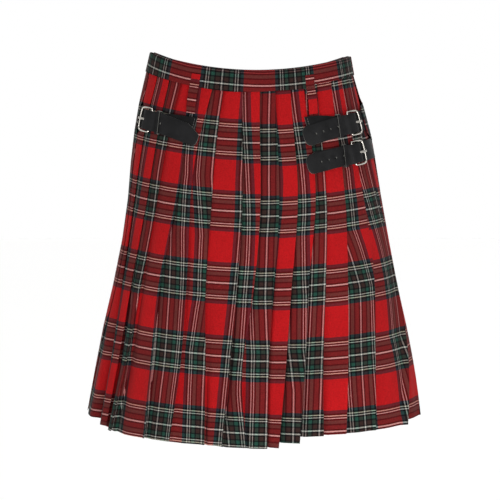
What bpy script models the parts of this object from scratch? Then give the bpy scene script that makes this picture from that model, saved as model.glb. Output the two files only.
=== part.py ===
# Scottish kilt, worn, seen from behind. Sizes are in millimetres and turned into metres at the mesh.
# +Z up, the back faces -Y, the wearer's right is +X, the origin is the middle of the waist.
# Angles go round the wearer from the centre back: +90 is the wearer's right side, 180 the front.
# An arc is the distance round the hips from the centre back, positive toward the wearer's right.
import math

import bmesh
import bpy
import numpy as np
from mathutils import Matrix, Vector

MM = 0.001

clothWall = 1.1
seamGap = 0.3
layerPitch = 1.5
looseLayers = 0.5
pleatCloth = 79.0
leastFold = 3.5
kickFold = 1.35
flatEdge = 6.5
valleyStep = 1.5
riseShare = 0.42
riseHeight = 0.62
mitreLimit = 0.62
hemDrop = 608.0

leather = 2.0
strapWidth = 32.0
frameWire = 3.2
frameLength = 28.0
frameRoom = 1.8
prongThick = 1.6
prongWide = 3.2
keeperThick = 1.2
keeperWide = 6.0
keeperTop = 7.0
keeperRoom = 1.0
keeperTurn = 0.15
layHeight = 0.35
tabThick = 1.8
holePitch = 13.5
loopWidth = 15.0
loopThick = 1.6

# One row for each level of the hips: the section's half width and half depths, how far it sways to
# the wearer's right, how much lower it lies at the centre back, and how much lower on the right.
hipLevels = [
    dict(drop=0, width=164.5, back=98.7, front=98.7, sway=0.0, dip=24.0, tilt=3.2),
    dict(drop=34, width=171.7, back=104.2, front=102.5, sway=-1.0, dip=23.0, tilt=2.8),
    dict(drop=78, width=182.9, back=112.5, front=108.5, sway=-0.4, dip=21.7, tilt=2.2),
    dict(drop=83, width=184.1, back=113.5, front=109.2, sway=-0.3, dip=21.5, tilt=2.1),
    dict(drop=126, width=193.6, back=121.0, front=114.2, sway=1.6, dip=20.2, tilt=1.5),
    dict(drop=131, width=194.6, back=121.8, front=114.7, sway=1.9, dip=20.1, tilt=1.5),
    dict(drop=180, width=203.5, back=129.3, front=119.1, sway=4.8, dip=18.6, tilt=0.8),
    dict(drop=240, width=211.7, back=137.1, front=122.8, sway=7.9, dip=16.8, tilt=0.0),
    dict(drop=310, width=222.9, back=147.4, front=128.1, sway=9.1, dip=14.7, tilt=-1.0),
    dict(drop=385, width=237.5, back=160.6, front=135.0, sway=8.6, dip=12.5, tilt=-2.0),
    dict(drop=460, width=253.6, back=175.2, front=142.6, sway=7.5, dip=10.2, tilt=-3.1),
    dict(drop=535, width=267.7, back=188.9, front=148.8, sway=7.1, dip=8.0, tilt=-4.1),
    dict(drop=608, width=281.0, back=202.3, front=154.6, sway=7.0, dip=5.8, tilt=-5.1),
]
levelDrops = np.array([level["drop"] for level in hipLevels], float)
frontDip = 1.35
topRow = 1.5
clothDrops = [topRow, 34, 78, 83, 126, 131, 180, 240, 310, 365, 420, 475, 530, 575, 608]

# One row for each pleat, left to right: the arc of its folded edge at five drops, how far that edge
# stands out at the hem, how deep the valley on its left is there, how wide the roll beside the valley
# is (0 where the pleat is flat), and the drop of its hem.
ridgeDrops = np.array([36, 182, 365, 486, 608], float)
pleats = [
    dict(ridge=(-167, -214, -260, -276, -314), kick=-11, valley=0, roll=0, hem=594),
    dict(ridge=(-139, -179, -226, -248, -277), kick=-2, valley=34, roll=19, hem=600),
    dict(ridge=(-116, -157, -201, -225, -258), kick=2, valley=11, roll=11, hem=605),
    dict(ridge=(-96, -121, -162, -172, -184), kick=4, valley=8, roll=0, hem=607),
    dict(ridge=(-61, -100, -114, -121, -139), kick=4, valley=2, roll=0, hem=608),
    dict(ridge=(-42, -65, -81, -79, -80), kick=4, valley=2, roll=0, hem=610),
    dict(ridge=(-11, -17, -31, -40, -52), kick=4, valley=2, roll=0, hem=611),
    dict(ridge=(17, 12, -4, -20, -14), kick=4, valley=2, roll=0, hem=614),
    dict(ridge=(42, 42, 28, 22, 20), kick=4, valley=2, roll=0, hem=616),
    dict(ridge=(67, 72, 57, 49, 38), kick=7, valley=2, roll=0, hem=615),
    dict(ridge=(90, 102, 85, 79, 70), kick=13, valley=5, roll=0, hem=608),
    dict(ridge=(113, 120, 115, 111, 111), kick=4, valley=7, roll=0, hem=601),
    dict(ridge=(141, 153, 155, 154, 149), kick=6, valley=3, roll=0, hem=601),
    dict(ridge=(165, 188, 211, 208, 206), kick=4, valley=4, roll=0, hem=603),
    dict(ridge=(187, 220, 283, 293, 275), kick=9, valley=3, roll=0, hem=605),
    dict(ridge=(210, 252, 322, 343, 340), kick=3, valley=6, roll=0, hem=602),
]

# The left seam, where the over apron's edge is sewn down on the first pleat, is an arc at the pleats'
# drops. It is left open for the left strap. The other seams and edges are in degrees round the wearer.
leftSeam = (-193, -235, -273, -316, -372)
seamLap = 5.0
slitDrops = (82.5, 126.5)
slitPleat = 7.0
slitApron = 5.0
rightSeam = 104.0
overEdgeDrops = (0, 34, 70, 78, 83, 126, 131, 142, 180, 240, 385, 608)
overEdge = (100, 99, 97, 84, 76, 76, 80, 93, 98, 100, 101, 102)
overHemAngles = (-256, -200, -150, -100)
overHem = (602, 608, 606, 591)
underEdge = 263.0
underFace = -4.0
overStandOff = 4.7
bandThick = 1.0
bandMiddle = 20
bandEdgeAngles = (-80, -45, -10, 15, 33, 37, 80)
bandEdgeDrops = (31, 34, 37, 35, 36.5, 31.5, 31.5)

# One row for each fastening: side of the body, arc of the buckle's heel bar, drop of the strap's
# middle at the buckle and at its tip, drop and arc of the tab's sewn end, the keeper's middle from the
# heel bar, arc of the tip, length of its shaped end above and below the middle, how round each is and
# how far the point is off the middle, how many holes and where the first is, arc of the sewn end and
# height of its underside.
fastenings = [
    dict(name="left", side=-1, heel=173, drop=102.5, tipDrop=115.5, tabDrop=100.0, tabEnd=91, keeper=-17,
         tip=80, point=(22, 9), round=(1.1, 2), askew=1.5, holes=1, firstHole=-24, far=274,
         under=underFace + seamGap),
    dict(name="right_upper", side=1, heel=171, drop=104.5, tipDrop=114.5, tabDrop=97.5, tabEnd=94,
         keeper=-21.5, tip=83, point=(9, 9), round=(2, 2), askew=0, holes=4, firstHole=-26.2, far=246,
         under=0.7),
    dict(name="right_lower", side=1, heel=174.5, drop=153.0, tipDrop=160.5, tabDrop=155.0, tabEnd=104,
         keeper=-18, tip=86.7, point=(9, 9), round=(2, 2), askew=1, holes=4, firstHole=-22.7, far=286,
         under=0.7),
]
beltLoops = [
    dict(name="left", topArc=-87, bottomArc=-97),
    dict(name="right", topArc=98, bottomArc=105),
]


def blend(xs, ys, x):
    """A smooth curve through the rows of a table."""
    xs = np.asarray(xs, float)
    ys = np.asarray(ys, float)
    slopes = np.gradient(ys, xs)
    i = int(np.clip(np.searchsorted(xs, x, side="right") - 1, 0, len(xs) - 2))
    span = xs[i + 1] - xs[i]
    t = float(np.clip((x - xs[i]) / span, 0, 1))
    return ((2 * t**3 - 3 * t**2 + 1) * ys[i] + (t**3 - 2 * t**2 + t) * span * slopes[i]
            + (3 * t**2 - 2 * t**3) * ys[i + 1] + (t**3 - t**2) * span * slopes[i + 1])


def ease(x, start, end):
    t = min(max((x - start) / (end - start), 0.0), 1.0)
    return t * t * (3 - 2 * t)


def section_point(level, angle, out):
    a = math.radians(angle)
    depth = level["back"] if math.cos(a) > 0 else level["front"]
    nx = depth * math.sin(a)
    ny = -level["width"] * math.cos(a)
    n = math.hypot(nx, ny)
    x = level["sway"] + level["width"] * math.sin(a) + out * nx / n
    y = -depth * math.cos(a) + out * ny / n
    dip = level["dip"] * math.cos(a) ** 2 * (1.0 if math.cos(a) > 0 else frontDip)
    return np.array([x, y, -level["drop"] - dip - level["tilt"] * math.sin(a)])


def level_span(drop):
    k = int(np.clip(np.searchsorted(levelDrops, drop, side="right") - 1, 0, len(levelDrops) - 2))
    return k, (drop - levelDrops[k]) / (levelDrops[k + 1] - levelDrops[k])


def hip(angle, drop, out):
    """The point of the hips' surface at an angle and a drop, moved out along its normal."""
    k, t = level_span(drop)
    high = section_point(hipLevels[k], angle, out)
    low = section_point(hipLevels[k + 1], angle, out)
    return high * (1 - t) + low * t


def arc_table(level):
    angles = np.radians(np.arange(-125, 125.5, 0.5))
    depth = np.where(np.cos(angles) > 0, level["back"], level["front"])
    speed = np.hypot(level["width"] * np.cos(angles), depth * np.sin(angles))
    arcs = np.concatenate([[0], np.cumsum((speed[1:] + speed[:-1]) / 2 * math.radians(0.5))])
    return arcs - np.interp(0, angles, arcs), np.degrees(angles)


arcTables = [arc_table(level) for level in hipLevels]


def angle_at(arc, drop):
    k, t = level_span(drop)
    high = np.interp(arc, *arcTables[k])
    low = np.interp(arc, *arcTables[k + 1])
    return float(high * (1 - t) + low * t)


def arc_at(angle, drop):
    k, t = level_span(drop)
    high = np.interp(angle, arcTables[k][1], arcTables[k][0])
    low = np.interp(angle, arcTables[k + 1][1], arcTables[k + 1][0])
    return float(high * (1 - t) + low * t)


def on_hip(arc, drop, out):
    return hip(angle_at(arc, drop), drop, out)


def material(name, colour, roughness, metallic=0.0):
    mat = bpy.data.materials.new(name)
    mat.use_nodes = True
    shader = mat.node_tree.nodes["Principled BSDF"]
    shader.inputs["Base Color"].default_value = (*colour, 1)
    shader.inputs["Roughness"].default_value = roughness
    shader.inputs["Metallic"].default_value = metallic
    mat.diffuse_color = (*colour, 1)
    return mat


def add_object(name, mesh, mat):
    obj = bpy.data.objects.new(name, mesh)
    bpy.context.scene.collection.objects.link(obj)
    mesh.materials.append(mat)
    return obj


def wall(name, outer, inner, mat, ring=False):
    """A closed solid between two grids of points with the same rows and columns. A ring joins its
    last row to its first. Both skins are cut along the same, shorter diagonals."""
    outer = np.asarray(outer) * MM
    inner = np.asarray(inner) * MM
    rows, columns = outer.shape[:2]
    bm = bmesh.new()
    out = [[bm.verts.new(p) for p in row] for row in outer]
    ins = [[bm.verts.new(p) for p in row] for row in inner]
    steps = rows if ring else rows - 1
    for r in range(steps):
        s = (r + 1) % rows
        for c in range(columns - 1):
            falling = (out[r][c].co - out[s][c + 1].co).length
            rising = (out[r][c + 1].co - out[s][c].co).length
            for skin in (out, ins):
                corners = (skin[r][c], skin[r][c + 1], skin[s][c + 1], skin[s][c])
                first = 0 if falling < rising else 1
                turned = corners[first:] + corners[:first]
                bm.faces.new((turned[0], turned[1], turned[2]))
                bm.faces.new((turned[0], turned[2], turned[3]))
        for c in (0, columns - 1):
            bm.faces.new((out[r][c], out[s][c], ins[s][c], ins[r][c]))
    if not ring:
        for r in (0, rows - 1):
            for c in range(columns - 1):
                bm.faces.new((out[r][c], out[r][c + 1], ins[r][c + 1], ins[r][c]))
    bmesh.ops.recalc_face_normals(bm, faces=bm.faces)
    mesh = bpy.data.meshes.new(name)
    bm.to_mesh(mesh)
    bm.free()
    mesh.shade_smooth()
    mesh.set_sharp_from_angle(angle=math.radians(40))
    return add_object(name, mesh, mat)


def slab(name, centre, thick, mat, ring=False):
    """A wall of one thickness about a grid of points, whose rows follow one another along a route."""
    centre = np.asarray(centre, float)
    rows = len(centre)
    outer = np.empty_like(centre)
    inner = np.empty_like(centre)
    for r in range(rows):
        before = centre[r] - centre[r - 1] if r or ring else centre[1] - centre[0]
        after = centre[(r + 1) % rows] - centre[r] if r < rows - 1 or ring else centre[r] - centre[r - 1]
        across = centre[r][-1] - centre[r][0]
        first = np.cross(across, before)
        second = np.cross(across, after)
        first /= np.linalg.norm(first, axis=1)[:, None]
        second /= np.linalg.norm(second, axis=1)[:, None]
        middle = first + second
        middle /= np.linalg.norm(middle, axis=1)[:, None]
        reach = thick / 2 / np.clip((middle * first).sum(1), mitreLimit, 1)
        outer[r] = centre[r] + middle * reach[:, None]
        inner[r] = centre[r] - middle * reach[:, None]
    return wall(name, outer, inner, mat, ring)


def side_offsets(points, half):
    """Points moved to both sides of a flat line by half its thickness, with mitred corners."""
    points = np.asarray(points, float)
    steps = np.diff(points, axis=0)
    steps /= np.linalg.norm(steps, axis=1)[:, None]
    before = np.vstack([steps[:1], steps])
    after = np.vstack([steps, steps[-1:]])
    first = np.stack([before[:, 1], -before[:, 0]], 1)
    second = np.stack([after[:, 1], -after[:, 0]], 1)
    middle = first + second
    middle /= np.linalg.norm(middle, axis=1)[:, None]
    shift = middle * (half / np.clip((middle * first).sum(1), mitreLimit, 1))[:, None]
    return points + shift, points - shift


# ---- pleated back ----

def left_seam(drop):
    """The arc of the left seam, which is upright where the waistband covers it."""
    if drop <= max(bandEdgeDrops):
        return arc_at(angle_at(leftSeam[0], bandMiddle), drop)
    return blend(ridgeDrops, leftSeam, drop)


def pleat_section(drop):
    """The cloth's centre line round the back at one drop, as rows of arc, height and hem drop. The
    height is measured out from the hips' surface, which the top of every pleat just touches."""
    loose = ease(drop, 34, hemDrop)
    flare = ease(drop, 230, 600)
    pitch = layerPitch + looseLayers * loose
    top = -clothWall / 2
    middle = top - pitch
    bottom = middle - pitch
    lapped = top - clothWall - seamGap
    seam = left_seam(drop)
    start = seam - seamLap
    if drop <= max(bandEdgeDrops):
        start = seam + seamGap
    if slitDrops[0] <= drop <= slitDrops[1]:
        seam += slitPleat
        start = seam - valleyStep
    line = []
    previous = seam
    under = 0.0
    for pleat in pleats:
        ridge = blend(ridgeDrops, pleat["ridge"], drop)
        hem = pleat["hem"]
        shown = ridge - previous
        kick = pleat["kick"] * flare
        valley = pleat["valley"] * flare
        depth = max((pleatCloth - shown) / 2, kickFold * abs(kick), leastFold)
        if pleat["roll"]:
            depth = min(depth, pleat["roll"] - 6 + 14 * (1 - flare))
        depth = min(depth, shown - flatEdge)
        full = ridge - depth
        half = previous + valleyStep + (full - previous - valleyStep) * riseShare
        crest = riseHeight
        if pleat["roll"]:
            half += (ridge - pleat["roll"] - half) * flare
            half = min(half, full - 4)
            crest += 0.3 * flare
        if pleat is pleats[0]:
            low = lapped
            line += [(start, low, hem), (previous + valleyStep, low, hem)]
        else:
            low = bottom
            line += [(previous, bottom + under - 0.5 * valley, hem),
                     (previous + valleyStep, bottom + under - valley, hem)]
        line.append((half, low + (top - low) * crest, hem))
        line += [(ridge - depth, top, hem),
                 (ridge, top + kick, hem),
                 (ridge, middle + kick, hem),
                 (ridge - depth, middle, hem),
                 (ridge - depth, bottom, hem)]
        previous = ridge
        under = min(kick, 0)
    end = arc_at(rightSeam, drop) - seamGap / 2
    seamLow = underFace - clothWall / 2
    for share in (0, 0.17, 0.34, 0.5, 0.66, 0.83, 1):
        sunk = bottom + (seamLow - bottom) * ease(share, 0, 0.7)
        line.append((previous + (end - previous) * share, sunk, hem))
    return line


def hem_lift(drop, hem):
    """How far the cloth is pulled up at a drop, for a hem that hangs at another drop."""
    return drop * (1 - hem / hemDrop) * ease(drop, 60, hemDrop)


def pleated_back(mat):
    outer = []
    inner = []
    for drop in clothDrops:
        plan = []
        heights = []
        for arc, out, hem in pleat_section(drop):
            point = hip(angle_at(arc, drop), drop, out)
            plan.append(point[:2])
            heights.append(point[2] + hem_lift(drop, hem))
        outside, inside = side_offsets(plan, clothWall / 2)
        outer.append(np.column_stack([outside, heights]))
        inner.append(np.column_stack([inside, heights]))
    return wall("pleated_back", outer, inner, mat)


# ---- aprons ----

def over_height(angle):
    """How far the over apron's outer face stands off the hips' surface."""
    return overStandOff * ease(-angle, 215, 246)


def apron_wall(name, drops, columns, height, hem, mat):
    outer = []
    inner = []
    for drop in drops:
        outside = []
        inside = []
        for angle in columns(drop):
            lift = np.array([0, 0, hem_lift(drop, hem(angle))])
            outside.append(hip(angle, drop, height(angle)) + lift)
            inside.append(hip(angle, drop, height(angle) - clothWall) + lift)
        outer.append(outside)
        inner.append(inside)
    return wall(name, outer, inner, mat)


def over_columns(drop):
    seam = left_seam(drop)
    if slitDrops[0] <= drop <= slitDrops[1]:
        seam -= slitApron
    lap = angle_at(seam - seamLap - 0.5, drop)
    far = float(np.interp(drop, overEdgeDrops, overEdge)) - 360
    return [angle_at(seam, drop)] + [lap + (far - lap) * i / 28 for i in range(29)]


def over_hem(angle):
    return float(np.interp(angle, overHemAngles, overHem))


def over_apron(mat):
    drops = sorted(clothDrops + [70, 136, 142])
    return apron_wall("over_apron", drops, over_columns, over_height, over_hem, mat)


def under_apron(mat):
    drops = [drop for drop in clothDrops if drop not in (78, 131)]

    def columns(drop):
        seam = angle_at(arc_at(rightSeam, drop) + seamGap / 2, drop)
        return [seam + (underEdge - seam) * i / 20 for i in range(21)]

    return apron_wall("under_apron", drops, columns, lambda angle: underFace, lambda angle: hemDrop, mat)


# ---- waistband ----

def band(name, begin, end, outerHeight, innerHeight, edge, count, mat):
    """A strip folded over a top edge: the outer leaf, the fold and the inner leaf, in four rows."""
    outer = [[], [], [], []]
    inner = [[], [], [], []]
    for i in range(count + 1):
        angle = begin + (end - begin) * i / count
        out = outerHeight(angle)
        back = innerHeight(angle)
        low = edge(angle)
        for grid, shift, top in ((outer, 0, 0), (inner, bandThick, bandThick)):
            grid[0].append(hip(angle, low, out - shift))
            grid[1].append(hip(angle, top, out - shift))
            grid[2].append(hip(angle, top, back + shift))
            grid[3].append(hip(angle, low, back + shift))
    return wall(name, outer, inner, mat)


def band_edge(angle):
    return float(np.interp(angle, bandEdgeAngles, bandEdgeDrops))


def waistbands(mat):
    face = seamGap + bandThick
    inside = underFace - clothWall - face - 0.5
    seam = leftSeam[0]
    band("waistband_back", angle_at(seam + seamGap / 2, bandMiddle), rightSeam - 0.1,
         lambda a: face, lambda a: inside, band_edge, 40, mat)
    band("waistband_over", angle_at(seam - seamGap / 2, bandMiddle), overEdge[1] - 360,
         lambda a: over_height(a) + face, lambda a: over_height(a) - clothWall - face,
         lambda a: bandEdgeDrops[0], 28, mat)
    band("waistband_under", rightSeam + 0.1, underEdge,
         lambda a: underFace + face, lambda a: inside, lambda a: bandEdgeDrops[0], 24, mat)


# ---- belt loops ----

def belt_loop(loop, mat):
    """A folded strip sewn on the band at its top and on the pleats at its bottom."""
    route = [(15, 2.4), (26, 2.4), (36, 2.7), (44, 4.0), (54, 4.6), (64, 4.0), (73, 2.2), (79, 1.2)]
    centre = []
    for drop, out in route:
        share = (drop - route[0][0]) / (route[-1][0] - route[0][0])
        middle = loop["topArc"] + (loop["bottomArc"] - loop["topArc"]) * share
        centre.append([on_hip(middle + loopWidth * (k / 2 - 0.5), drop, out) for k in range(3)])
    return slab("belt_loop_" + loop["name"], centre, loopThick, mat)


# ---- strap fastenings ----
# A fastening's own axes run past the heel bar (away from the centre back), across the strap
# (downward) and out. Away from the buckle they follow the hips; at the buckle they follow its frame,
# which is flat and stands on the round hips at its heel bar and its outer bar.

heelHeight = 4.0
outerHeight = 4.7
barSpace = frameWire / 2 + seamGap
tabSide = 0.6


def place(f, past, across, height):
    """A point of a fastening on the hips. Across is square to the strap, whose line climbs a little."""
    arc = f["side"] * (f["heel"] + past + f["lean"] * across)
    return on_hip(arc, f["drop"] + across, height)


def set_lean(f):
    f["lean"] = 0.0
    past = (place(f, 20, 0, 0) - place(f, 10, 0, 0)) / 10
    down = (place(f, 15, 5, 0) - place(f, 15, -5, 0)) / 10
    f["lean"] = -float(past @ down) / float(past @ past)


def frame_axes(f):
    """The middle of the heel bar, and unit axes along the frame, down it and out of it."""
    heel = place(f, 0, 0, heelHeight)
    along = place(f, frameLength, 0, outerHeight) - heel
    along /= np.linalg.norm(along)
    down = place(f, frameLength / 2, 5, 0) - place(f, frameLength / 2, -5, 0)
    down -= along * (down @ along)
    down /= np.linalg.norm(down)
    out = np.cross(along, down) * -f["side"]
    if out @ (place(f, 10, 0, 5) - place(f, 10, 0, 0)) < 0:
        out = -out
    return heel, along, down, out


def on_frame(axes, past, across, height):
    heel, along, down, out = axes
    return heel + along * past + down * across + out * height


def droop(f, past):
    """How far the strap's middle has sunk below the buckle's, toward its free tip."""
    share = ease(-past, 2, f["heel"] - f["tip"] + 40) * 1.3
    return (f["tipDrop"] - f["drop"]) * min(share, 1)


def strap_rows(f):
    """Stations from the tip to the sewn end: past the heel bar, height, and whether on the frame."""
    tip = f["tip"] - f["heel"]
    lying = layHeight + tabThick + seamGap + leather / 2
    rows = [(tip + step, lying, False) for step in (0, 1.5, 4, 8, 13, 23, 31, 39)]
    rows += [(f["keeper"] - 18.5, lying + 0.2, False), (f["keeper"] - 11.5, 4.4, False),
             (f["keeper"] - 5.5, 5.0, False), (-11.5, 5.2, False), (-8.5, 6.5, False),
             (-6, 8.1, False), (-3, 9.4, False)]
    rows += [(1, 5.2, True), (4, 5.25, True), (8, 5.15, True), (12.2, 4.85, True), (14.6, 3.3, True),
             (16.9, 1.1, True), (19.3, -0.9, True), (22, -2.2, True), (25, -2.85, True),
             (30, -3.05, True)]
    sewn = f["under"] + leather / 2
    if f["side"] < 0:
        rows += [(34.5, 0.9, False), (38, -0.6, False), (42, -2.0, False)]
        first = 46
    else:
        rows += [(34, 1.7, False)]
        first = 41
    rows += [(past, sewn, False) for past in range(first, int(f["far"] - f["heel"]) - 3, 7)]
    return rows + [(f["far"] - f["heel"], sewn, False)]


def shaped_end(f, fromTip):
    """How far the strap's two edges are from its middle, narrowing toward the tip."""
    sides = []
    for length, power, off in zip(f["point"], f["round"], (-f["askew"], f["askew"])):
        short = max(1 - fromTip / length, 0)
        sides.append(strapWidth / 2 * (0.25 + 0.75 * (1 - short**power) ** (1 / power)) + off * short)
    return sides


def strap(f, mat):
    axes = frame_axes(f)
    centre = []
    for past, height, onFrame in strap_rows(f):
        above, below = shaped_end(f, past + f["heel"] - f["tip"])
        middle = droop(f, past)
        lines = [middle - above, middle - above / 2, middle + below / 2, middle + below]
        if onFrame:
            centre.append([on_frame(axes, past, across, height) for across in lines])
        else:
            centre.append([place(f, past, across, height) for across in lines])
    obj = slab("strap_" + f["name"], centre, leather, mat)
    cut_hole(obj, axes, on_frame(axes, 15.2, 0, 3), 11, 4.6, 0)
    for k in range(f["holes"]):
        past = f["firstHole"] - holePitch * k
        centre = place(f, past, droop(f, past), 4)
        cut_hole(obj, axes, centre, 3.2, 3.2, k + 1)
    return obj


def cutter_on(obj, bm, name):
    mesh = bpy.data.meshes.new(name)
    bm.to_mesh(mesh)
    bm.free()
    cutter = bpy.data.objects.new(name, mesh)
    bpy.context.scene.collection.objects.link(cutter)
    cutter.hide_render = True
    cutter.display_type = "WIRE"
    cut = obj.modifiers.new(name, "BOOLEAN")
    cut.operation = "DIFFERENCE"
    cut.object = cutter


def axes_matrix(axes, centre, sizes):
    _, along, down, out = axes
    turn = Matrix((Vector(along), Vector(down), Vector(out))).transposed()
    if turn.determinant() < 0:
        turn = Matrix((Vector(along), Vector(-down), Vector(out))).transposed()
    stretch = Matrix.Diagonal((sizes[0] * MM, sizes[1] * MM, sizes[2] * MM, 1))
    return Matrix.Translation(Vector(centre) * MM) @ turn.to_4x4() @ stretch


def cut_hole(obj, axes, centre, long, wide, k):
    bm = bmesh.new()
    bmesh.ops.create_cone(bm, cap_ends=True, segments=8, radius1=0.5, radius2=0.5, depth=1)
    bmesh.ops.transform(bm, verts=bm.verts, matrix=axes_matrix(axes, centre, (long, wide, 16)))
    cutter_on(obj, bm, "%s_hole_%d" % (obj.name, k))


def tab(f, mat):
    """Leather sewn on the pleats, lifted over the keeper and folded round the heel bar."""
    axes = frame_axes(f)
    end = f["tabEnd"] - f["heel"]
    flat = f["keeper"] - 19.5
    lying = layHeight + tabThick / 2
    rows = [(end + (flat - end) * k / 4, lying, False) for k in range(5)]
    rows += [(f["keeper"] - 12.5, 1.6, False), (f["keeper"] - 7.5, 2.7, False),
             (f["keeper"] - 2.5, 2.9, False), (-11, 2.9, False), (-7, 2.3, False)]
    turnRadius = barSpace + tabThick / 2
    for turn in (-115, -80, -45, -10, 25, 60, 95):
        a = math.radians(turn)
        rows.append((turnRadius * math.cos(a), turnRadius * math.sin(a), True))
    rows += [(-2.4, 2.35, True), (-4.0, 1.6, True)]
    half = strapWidth / 2 - tabSide
    centre = []
    for past, height, onFrame in rows:
        middle = (f["tabDrop"] - f["drop"]) * (1 - ease(past, -60, -12))
        lines = [middle + half * share for share in (-1, 0, 1)]
        if onFrame:
            centre.append([on_frame(axes, past, across, height) for across in lines])
        else:
            centre.append([place(f, past, across, height) for across in lines])
    obj = slab("tab_" + f["name"], centre, tabThick, mat)
    bm = bmesh.new()
    bmesh.ops.create_cube(bm, size=1)
    sizes = (9.6, prongWide + 2 * seamGap + 0.4, 9.6)
    bmesh.ops.transform(bm, verts=bm.verts, matrix=axes_matrix(axes, on_frame(axes, 0, 0, 0), sizes))
    cutter_on(obj, bm, obj.name + "_slot")
    return obj


def keeper(f, mat):
    """A leather ring round the tab and the strap."""
    middle = (f["tabDrop"] - f["drop"]) * (1 - ease(f["keeper"], -60, -12))
    side = keeperThick / 2
    low = min(middle, droop(f, f["keeper"])) - strapWidth / 2 - keeperRoom - side
    high = max(middle, droop(f, f["keeper"] - 3)) + strapWidth / 2 + keeperRoom + side
    bottom = layHeight + side
    top = keeperTop + side
    ring = [(low, bottom), (low, top), (low + 6, top), ((low + high) / 2, top), (high - 6, top),
            (high, top), (high, bottom), (high - 6, bottom), ((low + high) / 2, bottom), (low + 6, bottom)]
    pasts = [keeperWide * (k / 2 - 0.5) + f["keeper"] for k in range(3)]
    centre = []
    for across, height in ring:
        shift = keeperTurn * (across - middle)
        centre.append([place(f, past - shift, across, height) for past in pasts])
    return slab("keeper_" + f["name"], centre, keeperThick, mat, True)


def buckle_frame(f, mat):
    """Round wire bent to a rectangle with rounded corners, its heel bar inside the folded tab."""
    axes = frame_axes(f)
    half = strapWidth / 2 + frameRoom + frameWire / 2
    corners = [(0, -half, 2.6, 180), (frameLength, -half, 6, 270),
               (frameLength, half, 6, 0), (0, half, 2.6, 90)]
    path = []
    for past, across, radius, first in corners:
        middlePast = past + radius if past == 0 else past - radius
        middleAcross = across + radius if across < 0 else across - radius
        for step in range(3):
            a = math.radians(first + 45 * step)
            path.append((middlePast + radius * math.cos(a), middleAcross + radius * math.sin(a)))
    curve = bpy.data.curves.new("buckle_frame_" + f["name"], "CURVE")
    curve.dimensions = "3D"
    curve.bevel_depth = frameWire / 2 * MM
    curve.bevel_resolution = 2
    spline = curve.splines.new("POLY")
    spline.points.add(len(path) - 1)
    for point, (past, across) in zip(spline.points, path):
        point.co = (*(on_frame(axes, past, across, 0) * MM), 1)
    spline.use_cyclic_u = True
    return add_object("buckle_frame_" + f["name"], curve, mat)


def prong(f, mat):
    """A flat pin with an eye round the heel bar, through the strap's hole and over the outer bar."""
    axes = frame_axes(f)
    eye = barSpace + prongThick / 2
    route = []
    for turn in range(-60, -271, -30):
        a = math.radians(turn)
        route.append((eye * math.cos(a), eye * math.sin(a)))
    route += [(8, eye), (18, eye), (frameLength, eye), (frameLength + 2.2, eye - 0.3)]
    centre = [[on_frame(axes, past, across, height) for across in (-prongWide / 2, prongWide / 2)]
              for past, height in route]
    return slab("prong_" + f["name"], centre, prongThick, mat)


def main():
    for obj in list(bpy.data.objects):
        bpy.data.objects.remove(obj, do_unlink=True)
    tartan = (0.42, 0.02, 0.025)
    pleated_back(material("pleated cloth", tartan, 0.9))
    over_apron(material("over apron cloth", (0.36, 0.02, 0.03), 0.9))
    under_apron(material("under apron cloth", (0.30, 0.02, 0.02), 0.9))
    waistbands(material("waistband cloth", (0.40, 0.03, 0.03), 0.9))
    for loop in beltLoops:
        belt_loop(loop, material("belt loop cloth " + loop["name"], (0.45, 0.04, 0.04), 0.9))
    for f in fastenings:
        set_lean(f)
        strap(f, material("strap leather " + f["name"], (0.03, 0.03, 0.032), 0.6))
        tab(f, material("tab leather " + f["name"], (0.025, 0.025, 0.027), 0.6))
        keeper(f, material("keeper leather " + f["name"], (0.028, 0.028, 0.03), 0.6))
        buckle_frame(f, material("frame nickel " + f["name"], (0.65, 0.62, 0.58), 0.25, 1.0))
        prong(f, material("prong nickel " + f["name"], (0.62, 0.60, 0.56), 0.25, 1.0))


main()
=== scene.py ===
import math

import bpy
import numpy as np
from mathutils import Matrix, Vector


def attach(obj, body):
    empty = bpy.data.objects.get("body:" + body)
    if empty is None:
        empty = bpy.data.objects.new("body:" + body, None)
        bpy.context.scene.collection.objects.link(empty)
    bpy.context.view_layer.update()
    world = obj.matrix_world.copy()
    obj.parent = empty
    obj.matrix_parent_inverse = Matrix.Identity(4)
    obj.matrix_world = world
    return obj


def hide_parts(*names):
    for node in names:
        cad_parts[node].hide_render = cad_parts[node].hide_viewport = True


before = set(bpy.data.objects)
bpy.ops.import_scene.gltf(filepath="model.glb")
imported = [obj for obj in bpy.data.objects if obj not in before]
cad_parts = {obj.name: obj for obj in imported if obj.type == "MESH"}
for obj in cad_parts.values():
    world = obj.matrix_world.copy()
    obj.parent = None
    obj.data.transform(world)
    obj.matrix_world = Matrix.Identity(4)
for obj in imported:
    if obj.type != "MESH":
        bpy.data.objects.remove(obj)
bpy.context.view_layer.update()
bpy.ops.object.select_all(action="DESELECT")
mm = 0.001
print("frame loaded,", len(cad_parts), "solids")

# Camera, floor and light

shot = dict(place=(0, -3.299, 0.0293), down=0.1073, lens=142.75, sensor=36)
bpy.ops.object.camera_add(location=shot["place"], rotation=(math.pi / 2 - shot["down"], 0, 0))
camera = bpy.context.object
camera.name = "kilt_camera"
camera.data.lens = shot["lens"]
camera.data.sensor_width = shot["sensor"]
bpy.context.scene.camera = camera
bpy.context.scene.view_settings.view_transform = "Standard"


def fromHex(code):  # an sRGB hex colour as the linear colour a shader wants
    parts = [int(code[i:i + 2], 16) / 255 for i in (1, 3, 5)]
    return [c / 12.92 if c <= 0.04045 else ((c + 0.055) / 1.055) ** 2.4 for c in parts] + [1]


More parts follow.
